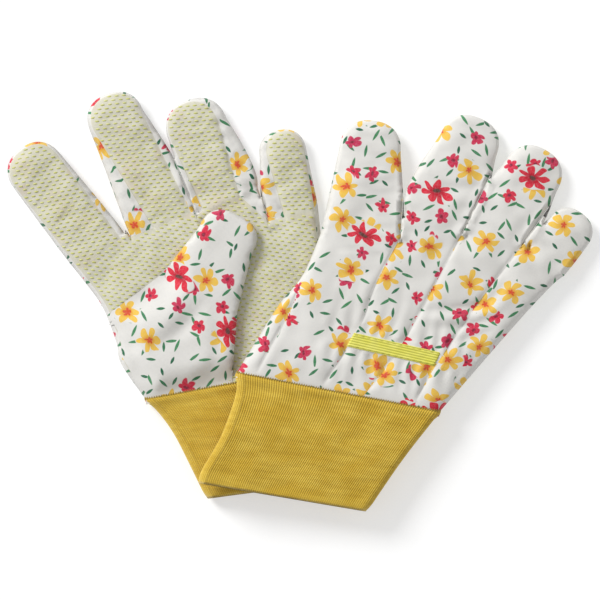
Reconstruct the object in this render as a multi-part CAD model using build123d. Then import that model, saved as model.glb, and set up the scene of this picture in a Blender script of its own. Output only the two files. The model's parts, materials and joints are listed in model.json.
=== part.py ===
from build123d import *
from dataclasses import dataclass
from functools import partial
from math import atan2, cos, degrees, radians, sin
import os

# A pair of printed cotton garden gloves with a dotted palm and a ribbed knit cuff, laid flat.
# The left glove lies palm up with its thumb folded over the palm.  The right glove lies back up
# on the left one's cuff, with its thumb folded under its palm.
# Millimetres.  +X to the right, +Y towards the fingertips, +Z up, z = 0 is the surface they lie on.
# A lean is an angle from +Y, positive to the right (clockwise seen from above).

# --- cloth, knit and trim -------------------------------------------------------------------
CLOTH = 0.8            # printed or dotted cotton drill
KNIT = 1.4             # ribbed knit, doubled at the hem
HAND_DEPTH = 8.0       # hand and fingers, outside, as they lie
EDGE_ROUND = 3.2       # rounded side of the hand and fingers
PLATE_DEPTH = 1.6      # how far the palm-side panel reaches round the edge
CUFF_DEPTH = 9.4
CUFF_ROUND = 4.0
THUMB_ROUND = 2.6
THUMB_PLATE = 1.3      # the same reach on the thumb stall
OVERLOCK_WIDTH = 1.6   # thread band where the cuff is sewn on
OVERLOCK_DEPTH = 8.8
BAND_LENGTH = 50.5     # elastic across the back of the hand
BAND_WIDTH = 8.5
BAND_THICK = 0.7
STITCH = (2.4, 0.4, 0.25)    # one visible stitch on the elastic: length, width, height
STITCHES_PER_ROW = 14
STITCH_INSET = 1.0

# --- clearances and allowances --------------------------------------------------------------
KNUCKLE_GAP = 1.6      # between hand and finger, so that a finger can fold
SIDE_GAP = 0.8         # between neighbouring fingers
STACK_GAP = 0.3        # between layers that lie on each other
THUMB_OPENING = 2.4    # margin of palm left round the hole under the thumb wing
PAST_HEM = 1.15        # the cuff is drawn this much longer, then cut at the hem
SAME = 1e-6            # heights closer than this are one height
FAR = 400.0


@dataclass
class Stall:
    """A finger or thumb stall: where it starts, where it points, and its size."""
    root: tuple
    lean: float
    length: float        # root to fingertip
    root_width: float
    tip_width: float
    droop: float = 0.0   # how far it hangs down from the hand, in degrees


@dataclass
class Glove:
    name: str
    palm_up: bool
    fingers: dict
    thumb: Stall
    thumb_depth: float
    thumb_edge: list     # side of the hand from the index finger down to the wrist
    little_edge: list    # side of the hand from the wrist up to the little finger
    wrist: tuple         # wrist seam, thumb side then little-finger side
    hem: tuple           # lower edge of the cuff, same order
    wing: list           # cloth that carries the thumb stall, laid over the palm
    seam_feet: list      # where the three seams of the back meet the wrist, as parts of its width
    band: tuple          # centre of the elastic, and its lean
    place: Location


LEFT = Glove(
    name="left",
    palm_up=True,
    fingers={
        "index": Stall((-112.3, 26.3), -37.6, 74.0, 34.5, 31.5),
        "middle": Stall((-77.6, 42.5), -21.5, 79.5, 39.0, 32.0),
        "ring": Stall((-41.0, 56.0), -22.6, 60.5, 35.5, 34.0),
        "little": Stall((-4.5, 47.5), -10.9, 48.5, 28.5, 26.5),
    },
    thumb=Stall((-56.8, 4.5), 26.5, 48.0, 47.0, 34.0),
    thumb_depth=6.8,
    thumb_edge=[(-108.0, -11.0), (-102.0, -35.0)],
    little_edge=[(18.0, 0.0)],
    wrist=((-87.6, -55.4), (27.0, -34.7)),
    hem=((-53.5, -110.3), (39.0, -98.0)),
    wing=[(-78.7, 15.1), (-91.6, 2.8), (-104.5, -8.0), (-98.0, -35.0), (-84.0, -52.0),
          (-38.5, -43.0), (-34.5, -6.5)],
    seam_feet=[0.33, 0.55, 0.77],
    band=((-36.0, -18.0), -19.0),
    place=Location((0.2, -0.3, (CUFF_DEPTH - HAND_DEPTH) / 2)),
)

RIGHT = Glove(
    name="right",
    palm_up=False,
    fingers={
        "index": Stall((32.8, 34.7), 6.5, 67.0, 45.0, 34.5, droop=6.0),
        "middle": Stall((74.8, 42.6), 22.0, 65.0, 36.0, 33.5, droop=4.5),
        "ring": Stall((109.2, 37.6), 31.0, 54.5, 31.5, 32.5, droop=3.5),
        "little": Stall((137.0, 21.0), 38.4, 34.5, 24.0, 26.0, droop=3.5),
    },
    thumb=Stall((41.0, -6.0), 30.0, 47.0, 35.0, 31.0),
    thumb_depth=6.8,
    thumb_edge=[(-2.0, 10.0), (-24.0, -20.0)],
    little_edge=[(119.5, -14.0), (140.0, 8.0)],
    wrist=((-36.0, -40.3), (77.5, -62.2)),
    hem=((-58.0, -100.8), (35.5, -117.0)),
    wing=[(0.0, 8.0), (-9.0, -4.0), (-29.0, -32.0), (21.0, -32.0), (22.5, 2.0)],
    seam_feet=[0.42, 0.62, 0.84],
    band=((51.6, -27.6), 12.8),
    place=Location((25.2, -35.3, 10.1), (-0.6, 2.9, 0.0)) * Location((-25.0, 35.0, 0.7)),
)


def along(start, lean, distance):
    """The point at a distance from start in the direction of a lean."""
    return (start[0] + distance * sin(radians(lean)), start[1] + distance * cos(radians(lean)))


def between(a, b, part):
    return tuple(p + part * (q - p) for p, q in zip(a, b))


def stall_outline(stall, grow=0.0):
    """A tapering finger shape: the hull of the root circle and the fingertip circle."""
    tip_radius = stall.tip_width / 2
    tip = along(stall.root, stall.lean, stall.length - tip_radius)
    circles = (Pos(*stall.root) * Circle(stall.root_width / 2 + grow),
               Pos(*tip) * Circle(tip_radius + grow))
    return make_hull([edge for circle in circles for edge in circle.edges()])


def beyond_knuckle(stall, gap):
    """Flat region on the fingertip's side of a line across the stall, gap past its root."""
    middle = along(stall.root, stall.lean, gap + FAR / 2)
    return Pos(*middle) * Rot(0, 0, -stall.lean) * Rectangle(FAR, FAR)


def upright(region):
    """The region as a column through the whole thickness."""
    return Pos(0, 0, -FAR / 2) * extrude(region, FAR)


def slab(low, high):
    return Pos(0, 0, (low + high) / 2) * Box(2 * FAR, 2 * FAR, high - low)


def polygon(points, grow=0.0):
    face = make_face(Polyline(*points, close=True))
    return offset(face, grow) if grow else face


def pillow(outline, depth, rounding):
    """A flat bag shape: the outline with its upper and lower edges rounded."""
    body = extrude(outline, depth)
    rims = [edge for edge in body.edges() if min(edge.center().Z, depth - edge.center().Z) < SAME]
    return fillet(rims, rounding)


def bag(outlines, depth, rounding, wall):
    """Pillows run together and hollow all through.  Each outline(grow) is a shape grown by grow."""
    outside = [pillow(outline(0), depth, rounding) for outline in outlines]
    inside = [pillow(outline(-wall), depth - 2 * wall, rounding - wall) for outline in outlines]
    return Part() + outside - [Pos(0, 0, wall) * part for part in inside]


def crotches(glove):
    """The points where neighbouring fingers part."""
    stalls = list(glove.fingers.values())
    return [between(along(left.root, left.lean + 90, left.root_width / 2),
                    along(right.root, right.lean - 90, right.root_width / 2), 0.5)
            for left, right in zip(stalls, stalls[1:])]


def hand_shell(glove):
    """The hand as a flat bag with rounded sides, open at the wrist and at each knuckle."""
    stalls = list(glove.fingers.values())
    across = [along(stall.root, stall.lean + side, stall.root_width / 2)
              for stall in stalls for side in (-90, 90)]
    lean = wrist_lean(glove)
    tail = [along(end, lean + 90, CUFF_DEPTH) for end in glove.wrist]
    thumb_side = [across[0], *glove.thumb_edge, glove.wrist[0], tail[0]]
    little_side = [tail[1], glove.wrist[1], *glove.little_edge, across[-1]]
    points = thumb_side[::-1] + across[1:-1] + little_side[::-1]
    middles = [between(p, q, 0.5) for side in (thumb_side, little_side)
               for p, q in zip(side, side[1:])]
    lining = polygon(points, -CLOTH)
    inside = rounded_sides(lining, HAND_DEPTH - 2 * CLOTH, EDGE_ROUND - CLOTH, middles)
    shell = rounded_sides(polygon(points), HAND_DEPTH, EDGE_ROUND, middles)
    shell -= Pos(0, 0, CLOTH) * inside
    for stall in stalls:
        mouth = Box(stall.root_width - 2 * EDGE_ROUND, 4 * CLOTH, HAND_DEPTH - 2 * CLOTH)
        shell -= Pos(*stall.root, HAND_DEPTH / 2) * Rot(0, 0, -stall.lean) * mouth
        shell -= upright(stall_outline(stall, SIDE_GAP) & beyond_knuckle(stall, 0))
    return shell - upright(below_wrist(glove, 0))


def rounded_sides(outline, depth, rounding, middles):
    """The outline made solid, with the rims of the sides that have these middles rounded."""
    body = extrude(outline, depth)
    rims = []
    for edge in body.edges():
        spot = edge.center()
        on_rim = min(spot.Z, depth - spot.Z) < SAME
        near_side = any((Vector(spot.X, spot.Y) - Vector(*middle)).length < 2 * CLOTH
                        for middle in middles)
        if on_rim and near_side:
            rims.append(edge)
    return fillet(rims, rounding)


def wrist_lean(glove):
    """Lean of the wrist seam, from its thumb side to its little-finger side."""
    (x0, y0), (x1, y1) = glove.wrist
    return degrees(atan2(x1 - x0, y1 - y0))


def below_wrist(glove, gap):
    """Flat region on the cuff's side of the wrist seam, gap past it."""
    lean = wrist_lean(glove)
    centre = along(between(*glove.wrist, 0.5), lean + 90, gap + FAR / 2)
    return Pos(*centre) * Rot(0, 0, -lean) * Rectangle(FAR, 2 * FAR)


def palm_side(glove, depth, reach):
    """Slab that holds the palm-side panel, and the slab that holds the rest."""
    if glove.palm_up:
        return slab(depth - reach, depth + 1), slab(-1, depth - reach)
    return slab(-1, reach), slab(reach, depth + 1)


def fold_axis(stall, depth):
    """The line on the upper surface, across the root, that the stall folds up about."""
    x, y = stall.root
    return Axis((x, y, depth), (cos(radians(stall.lean)), -sin(radians(stall.lean)), 0))


def strip_columns(glove):
    """Four columns, one for each strip of the back, divided by the seams from the finger crotches."""
    stalls = list(glove.fingers.values())
    feet = [between(*glove.wrist, part) for part in glove.seam_feet]
    lean = wrist_lean(glove)
    lines = []
    for left, right, crotch, foot in zip(stalls, stalls[1:], crotches(glove), feet):
        tip = between(along(left.root, left.lean, left.length),
                      along(right.root, right.lean, right.length), 0.5)
        lines.append([along(foot, lean + 90, CUFF_DEPTH), foot, crotch, tip])
    outer = [[along(p, side, FAR / 4) for p in line]
             for line, side in ((lines[0], lean + 180), (lines[-1], lean))]
    lines = [outer[0]] + lines + [outer[1]]
    return [upright(polygon(left + right[::-1])) for left, right in zip(lines, lines[1:])]


def make_hand(glove):
    """The palm panel, the four strips of the back and the wing that carries the thumb."""
    shell = hand_shell(glove)
    palm_slab, back_slab = palm_side(glove, HAND_DEPTH, PLATE_DEPTH)
    palm = shell & palm_slab
    back = shell & back_slab
    wing = make_wing(glove)
    if glove.palm_up:
        hole = polygon(glove.wing, -THUMB_OPENING)
        palm -= upright(hole - beyond_knuckle(glove.thumb, -KNUCKLE_GAP)) - slab(-1, PLATE_DEPTH)
    pieces = {"palm_panel": palm, "thumb_wing": wing}
    for finger, column in zip(glove.fingers, strip_columns(glove)):
        pieces[f"{finger}_back_strip"] = max((back & column).solids(), key=lambda solid: solid.volume)
    return pieces


def make_wing(glove):
    """The thenar cloth.  On the left glove it stands over the palm and slopes down to the wrist;
    on the right glove it is pressed flat, as two layers, under the palm."""
    if not glove.palm_up:
        return Pos(0, 0, -2 * CLOTH) * extrude(polygon(glove.wing), 2 * CLOTH)
    depth = glove.thumb_depth
    outlines = [partial(polygon, glove.wing), partial(stall_outline, glove.thumb)]
    flap = bag(outlines, depth, THUMB_ROUND, CLOTH)
    flap -= slab(-1, CLOTH)
    flap -= upright(beyond_knuckle(glove.thumb, -KNUCKLE_GAP))
    return Pos(0, 0, HAND_DEPTH - CLOTH) * flap


def make_finger(glove, stall):
    """Front and back of one finger stall, open at its root, hanging by its droop."""
    shell = bag([partial(stall_outline, stall)], HAND_DEPTH, EDGE_ROUND, CLOTH)
    shell &= upright(beyond_knuckle(stall, KNUCKLE_GAP))
    hang = fold_axis(stall, HAND_DEPTH)
    return [(shell & side).rotate(hang, -stall.droop)
            for side in palm_side(glove, HAND_DEPTH, PLATE_DEPTH)]


def make_thumb(glove):
    """Front and back of the thumb stall, open at its root, on or under the palm."""
    stall = glove.thumb
    depth = glove.thumb_depth
    shell = bag([partial(stall_outline, stall)], depth, THUMB_ROUND, CLOTH)
    shell &= upright(beyond_knuckle(stall, 0))
    level = HAND_DEPTH + STACK_GAP if glove.palm_up else -depth - STACK_GAP
    return [Pos(0, 0, level) * (shell & side) for side in palm_side(glove, depth, THUMB_PLATE)]


def cuff_bag(glove, depth, rounding, wall, start, end):
    """A hollow sleeve between two lines across the cuff, start and end past the wrist seam."""
    lean = wrist_lean(glove)
    spare = [along(corner, lean - 90, CUFF_DEPTH) for corner in glove.wrist]
    low = [between(top, bottom, PAST_HEM) for top, bottom in zip(glove.wrist, glove.hem)]
    corners = [spare[0], glove.wrist[0], low[0], low[1], glove.wrist[1], spare[1]]
    sleeve = bag([partial(polygon, corners)], depth, rounding, wall)
    sleeve &= upright(below_wrist(glove, start))
    return Pos(0, 0, (HAND_DEPTH - depth) / 2) * (sleeve - upright(end))


def make_cuff(glove):
    """The ribbed cuff and the overlock thread that joins it to the hand."""
    hem_middle = between(*glove.hem, 0.5)
    (x0, y0), (x1, y1) = glove.hem
    hem_lean = degrees(atan2(x1 - x0, y1 - y0))
    below_hem = (Pos(*along(hem_middle, hem_lean + 90, FAR / 2)) * Rot(0, 0, -hem_lean)
                 * Rectangle(FAR, 2 * FAR))
    cuff = cuff_bag(glove, CUFF_DEPTH, CUFF_ROUND, KNIT, OVERLOCK_WIDTH, below_hem)
    thread = cuff_bag(glove, OVERLOCK_DEPTH, EDGE_ROUND, KNIT, 0, below_wrist(glove, OVERLOCK_WIDTH))
    return {"knit_cuff": cuff, "cuff_overlock": thread}


def make_band(glove):
    """The elastic across the back of the hand and its two rows of stitches."""
    centre, lean = glove.band
    out = -1 if glove.palm_up else 1
    face = 0 if glove.palm_up else HAND_DEPTH
    seat = Pos(*centre, face) * Rot(0, 0, -lean)
    band = seat * Pos(0, 0, out * BAND_THICK / 2) * Box(BAND_LENGTH, BAND_WIDTH, BAND_THICK)
    length, width, height = STITCH
    pitch = BAND_LENGTH / STITCHES_PER_ROW
    row = BAND_WIDTH / 2 - STITCH_INSET
    stitches = []
    for side in (-1, 1):
        for index in range(STITCHES_PER_ROW):
            x = (index + 0.5) * pitch - BAND_LENGTH / 2
            groove = out * (BAND_THICK - height / 2)
            stitches.append(seat * Pos(x, side * row, groove) * Box(length, width, height))
    thread = Compound(stitches)
    return {"elastic_band": band - thread, "elastic_stitching": thread}


def make_glove(glove):
    pieces = make_hand(glove) | make_cuff(glove) | make_band(glove)
    stalls = {name: make_finger(glove, stall) for name, stall in glove.fingers.items()}
    stalls["thumb"] = make_thumb(glove)
    for name, (front, back) in stalls.items():
        pieces[f"{name}_front"] = front
        pieces[f"{name}_back"] = back
    return {f"{glove.name}_{name}": glove.place * piece for name, piece in pieces.items()}


os.makedirs("parts", exist_ok=True)
for each in (LEFT, RIGHT):
    for node, shape in make_glove(each).items():
        export_step(Compound(shape.solids()), f"parts/{node}.step")
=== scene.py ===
import json
import math

import bpy
import numpy as np
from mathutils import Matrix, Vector, geometry, noise
from mathutils.bvhtree import BVHTree
from mathutils.kdtree import KDTree


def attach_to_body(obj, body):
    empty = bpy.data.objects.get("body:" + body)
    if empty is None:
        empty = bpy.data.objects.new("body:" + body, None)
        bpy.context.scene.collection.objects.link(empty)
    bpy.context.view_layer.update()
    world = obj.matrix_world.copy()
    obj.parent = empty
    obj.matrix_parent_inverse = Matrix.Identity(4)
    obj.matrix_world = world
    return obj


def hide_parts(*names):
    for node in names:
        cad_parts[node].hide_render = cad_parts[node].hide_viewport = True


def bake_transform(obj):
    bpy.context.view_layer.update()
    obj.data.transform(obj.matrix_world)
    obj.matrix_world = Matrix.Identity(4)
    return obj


# A pair of printed cotton garden gloves, laid flat: the left one palm up with its thumb over the
# palm, the right one back up on the left one's cuff.  Metres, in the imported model's frame.
# A lean is an angle from +Y, positive to the right.  The depth of a point is how far it lies
# inside an outline, and it is negative outside.

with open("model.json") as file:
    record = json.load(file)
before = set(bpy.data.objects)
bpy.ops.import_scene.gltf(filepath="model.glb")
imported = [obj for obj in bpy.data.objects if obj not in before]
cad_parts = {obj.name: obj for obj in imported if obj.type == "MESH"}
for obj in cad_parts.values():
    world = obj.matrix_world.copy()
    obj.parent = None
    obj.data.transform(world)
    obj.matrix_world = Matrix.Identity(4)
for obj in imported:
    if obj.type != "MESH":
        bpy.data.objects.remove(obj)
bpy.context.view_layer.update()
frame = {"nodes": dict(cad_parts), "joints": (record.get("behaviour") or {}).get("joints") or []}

FINGERS = ("index", "middle", "ring", "little")

# --- cloth ---
CLOTH = 0.0004           # thickness of the cotton
STEP = 0.0020            # between neighbouring points of the cloth
HAND_DEPTH = 0.0080      # the empty glove as it lies
THUMB_DEPTH = 0.0062
SQUARE = 0.86            # fingertips are this much squarer than round, which is 1
SQUARE_THUMB = 0.70
PUFF = 0.014             # how far in from its edge the cloth reaches its full height
THUMB_PUFF = 0.011
PRINT_MARGIN = 0.0022    # printed cloth that shows round the edge of the dotted palm
TIP_MARGIN = 0.0011      # and round the fingertips
SEAM_DIP = 0.0012        # a seam lies this much lower than the cloth beside it
SEAM_REACH = 0.0009
BEND = 0.014             # length of finger over which a fold at the knuckle turns
SLIT = 0.00025           # between fingers that touch
SLIT_FILL = 0.2          # cloth closes this share of the gap, on from the slit's inner end
SLIT_REACH = 0.0050      # the cloth falls to a slit over this distance
SLIT_RISE = 0.0019       # the bottom of that valley lies this much above the edge of the glove
TUCK = 0.0030            # cloth that runs on inside the cuff
LAP = 0.0008             # the thumb cloth lies this much above the palm
RISE = 0.018             # it reaches its full height this far from its seams
DOUBLED = 0.3            # where it is above this share of that height it has an inner layer

# Unevenness: about how high and how wide the bumps are.
HAND_BUMPS = ((0.0010, 0.022), (0.0004, 0.009))
THUMB_BUMPS = (0.0004, 0.012)
CRINKLES = (0.00045, 0.0035)             # these run across each finger
CUFF_BUMPS = (0.0006, 0.020)
CUFF_STREAKS = (0.0003, 0.006)           # these run round the cuff
BAND_BUMPS = (0.00015, 0.004)
PUCKERS = (0.0010, 0.0013, 0.011)        # at the elastic: height, pitch / tau, and reach
WRIST_CALM = 0.008       # there is none at the wrist seam, and all of it this far away
THUMB_CALM = 0.012
THUMB_FULL = 0.002       # the thumb has all its bumps where half its depth is this much
BAND_CALM = 0.002

# --- trim ---
CUFF_DEPTH = 0.0094
KNIT = 0.0014            # thickness of the doubled knit
CUFF_STEP = 0.0018       # between its rows of points
HEM_ROWS = 3             # of those rows, the last ones close the hem
RIB_PITCH = 0.00130
RIB_HEIGHT = 0.00022
RIB_POINTS = 4
COURSE_PITCH = 0.0011    # between rows of knitting
CUFF_ROLL = (0.0024, 0.0018, 0.0011)     # place, half width and height of the roll at its top
OVERLOCK = (0.0013, 0.0006, 0.00036)     # pitch, swing and radius of the zigzag thread
OVERLOCK_LIFT = 0.0001
BAND_SIZE = (0.0505, 0.0085, 0.0010)     # elastic: length, width, height above the cloth
BAND_RIBS = 6
BAND_RIB_HEIGHT = 0.00014
BAND_RIB_POINTS = 6
BAND_COLUMNS = 70        # points along it
BAND_SKEW = 0.28         # its ends lean by this
BAND_ROUND = 0.0007      # its edges are rounded over this
BAND_SINK = 0.0004       # its edges and its stitches go this far in
STITCH = (0.0024, 0.00045, 0.0003)
STITCHES_PER_ROW = 14
STITCH_INSET = 0.0010
DOT_ROW = 0.0022         # between rows of dots
DOT_PITCH = 0.0041       # along a row
DOT_SIZE = (0.0028, 0.0010, 0.0004)
DOT_ROOM = (0.0010, 0.0008)              # cloth that a dot needs beside its middle
PALM_DOTS_TURN = -8.0                    # degrees, anticlockwise
FINGER_DOTS_TURN = -0.25                 # times the finger's lean, so they follow it a little

# --- stage ---
FLOOR_SIZE = 4.0         # from its middle to its edges
FLOOR_GLOW = 0.45
SKY = 0.55
SUN = {"azimuth": -48, "elevation": 32, "strength": 2.90, "spread": 24}
PICTURE_WIDTH = 0.336
CAMERA_DISTANCE = 3.0
CAMERA_SENSOR = 36.0
CAMERA_PLACE = (-0.00064, -0.0003)

NOISE_GAIN = 1.6         # brings Blender's noise to about -1 to 1
LOWEST = 0.0001          # nothing reaches nearer to the floor than this
ABOVE_ALL = 0.05         # higher than the gloves
SHIFT = np.array([0.0002, -0.0003])      # from the gloves' drawing to the frame


def unit(vector):
    return vector / np.linalg.norm(vector)


def left_of(vector):
    """The vector turned a quarter turn to the left."""
    return np.array([-vector[1], vector[0]])


def placed(points):
    """Points of the gloves' drawing, which is in millimetres, as they are in the frame."""
    return np.array(points) / 1000 + SHIFT


def smoothstep(t):
    t = np.clip(t, 0, 1)
    return t * t * (3 - 2 * t)


def smooth(points, per_side=8):
    """A Catmull-Rom curve through the points."""
    p = np.array([points[0], *points, points[-1]], float)
    curve = []
    for a, b, c, d in zip(p, p[1:], p[2:], p[3:]):
        for t in np.arange(per_side) / per_side:
            curve.append(0.5 * (2 * b + (c - a) * t + (2 * a - 5 * b + 4 * c - d) * t ** 2
                                + (3 * b - a - 3 * c + d) * t ** 3))
    return np.array([*curve, p[-1]])


def resample(curve, step=STEP):
    """Points evenly spaced along a polyline, its ends kept."""
    curve = np.asarray(curve, float)
    at = np.concatenate([[0], np.cumsum(np.linalg.norm(np.diff(curve, axis=0), axis=1))])
    spots = np.linspace(0, at[-1], max(2, int(round(at[-1] / step)) + 1))
    return np.stack([np.interp(spots, at, curve[:, k]) for k in (0, 1)], axis=1)


def moved_left(curve, distance):
    """The polyline moved sideways, to the left of its own direction."""
    left = left_of(np.gradient(curve, axis=0).T).T
    return curve + distance * left / np.linalg.norm(left, axis=1)[:, None]


def distance_to(points, curve):
    """Distance of points from a polyline."""
    best = np.full(len(points), np.inf)
    for a, b in zip(curve, curve[1:]):
        ab = b - a
        t = np.clip((points - a) @ ab / max(ab @ ab, 1e-12), 0, 1)
        best = np.minimum(best, np.linalg.norm(points - a - t[:, None] * ab, axis=1))
    return best


def depth_in(points, polygon):
    """Depth of points in a closed polygon."""
    closed = np.vstack([polygon, polygon[:1]])
    inside = np.zeros(len(points), bool)
    x, y = points.T
    for (x0, y0), (x1, y1) in zip(closed, closed[1:]):
        if y0 != y1:
            inside ^= ((y0 > y) != (y1 > y)) & (x < x0 + (y - y0) * (x1 - x0) / (y1 - y0))
    distance = distance_to(points, closed)
    return np.where(inside, distance, -distance)


def near_line(points, curve, reach):
    """1 on a polyline, falling to nothing at about twice the reach from it."""
    return np.exp(-(distance_to(points, curve) / reach) ** 2)


def nearest(points, targets):
    """The target that each point is nearest to."""
    return np.array([targets[np.argmin(np.sum((targets - p) ** 2, axis=1))] for p in points])


def puff(depth, reach=PUFF, fullness=2.2):
    """Share of its full height that the cloth has at a depth."""
    return np.sqrt(1 - (1 - np.clip(depth / reach, 0, 1)) ** fullness)


def ripples(points, bump, seed):
    """Smooth unevenness.  A bump is a height and a width."""
    height, width = bump
    values = [noise.noise(Vector((x / width, y / width, seed))) for x, y in points]
    return height * (np.array(values) * NOISE_GAIN)


class Stall:
    """A finger or thumb stall as it is in the frame: a tapering shape with a round tip.

    Each of its sides may belly out, and its middle line may bow to one side, in metres."""

    def __init__(self, glove, finger, droop=0.0, bellies=(0, 0), bow=0.0, square=SQUARE):
        self.joint = next(j for j in frame["joints"] if j["child"] == f"{glove}_{finger}")
        self.root = np.array(self.joint["pos_m"][:2])
        nodes = [frame["nodes"][f"{glove}_{finger}_{side}"] for side in ("front", "back")]
        reach = np.array([v.co[:2] for node in nodes for v in node.data.vertices]) - self.root
        far = reach[np.argmax(np.linalg.norm(reach, axis=1))]
        self.length = float(np.linalg.norm(far))
        self.ahead = far / self.length
        self.right = -left_of(self.ahead)
        forward, across = reach @ self.ahead, np.abs(reach @ self.right)
        self.root_radius = float(across[forward < self.length / 4].max())
        self.tip_radius = self.length / 4
        for _ in range(4):      # a round tip is as wide as this one radius from its end
            near = np.abs(forward - self.length + self.tip_radius) < self.length / 12
            self.tip_radius = float(across[near].max())
        self.core = self.length - self.tip_radius
        self.slope = math.tan(math.radians(droop))
        self.bellies = bellies
        self.bow = bow
        self.square = square

    def point(self, forward, across=0.0):
        return self.root + forward * self.ahead + across * self.right

    def corners(self):
        return self.point(0, -self.root_radius), self.point(0, self.root_radius)

    def beyond(self, points):
        return (points - self.root) @ self.ahead

    def side(self, sign, inset):
        """The left (-1) or right (1) side from the root to where the tip's round starts.  With
        an inset it is the straight edge of the finger's front, that far in at root and tip."""
        part = np.linspace(0, 1, 10)[:, None]
        start, end = np.array([self.root_radius, self.tip_radius]) - (inset or (0, 0))
        across = sign * (start + (end - start) * part) + self.bow * part
        if not inset:
            across += sign * self.bellies[int(sign > 0)] * np.sin(math.pi * part ** 0.6)
            across += self.bow * (part ** 2 - part)
        return self.root + part * self.core * self.ahead + across * self.right

    def outline(self, left=None, right=None):
        """The edge from the left root corner round the tip to the right one.  Left and right
        say how far the two sides of its front lie inside it, at root and tip."""
        inner = (left[1], right[1]) if left else (0, 0)
        radius = self.tip_radius - sum(inner) / 2
        angles = np.linspace(math.pi, 0, 20)[1:-1, None]
        across = np.sign(np.cos(angles)) * np.abs(np.cos(angles)) ** self.square
        ahead = np.sin(angles) ** self.square
        centre = self.point(self.core, self.bow + (inner[0] - inner[1]) / 2)
        height = self.tip_radius - (TIP_MARGIN if left else 0)
        tip = centre + radius * across * self.right + height * ahead * self.ahead
        return np.vstack([self.side(-1, left), tip, self.side(1, right)[::-1]])

    def depth(self, points, left=None, right=None):
        """Depth in that shape, run on a little past its root."""
        foot = [self.point(-BEND / 2, self.root_radius / 2 * side) for side in (1, -1)]
        return depth_in(points, np.vstack([self.outline(left, right), foot]))


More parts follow.
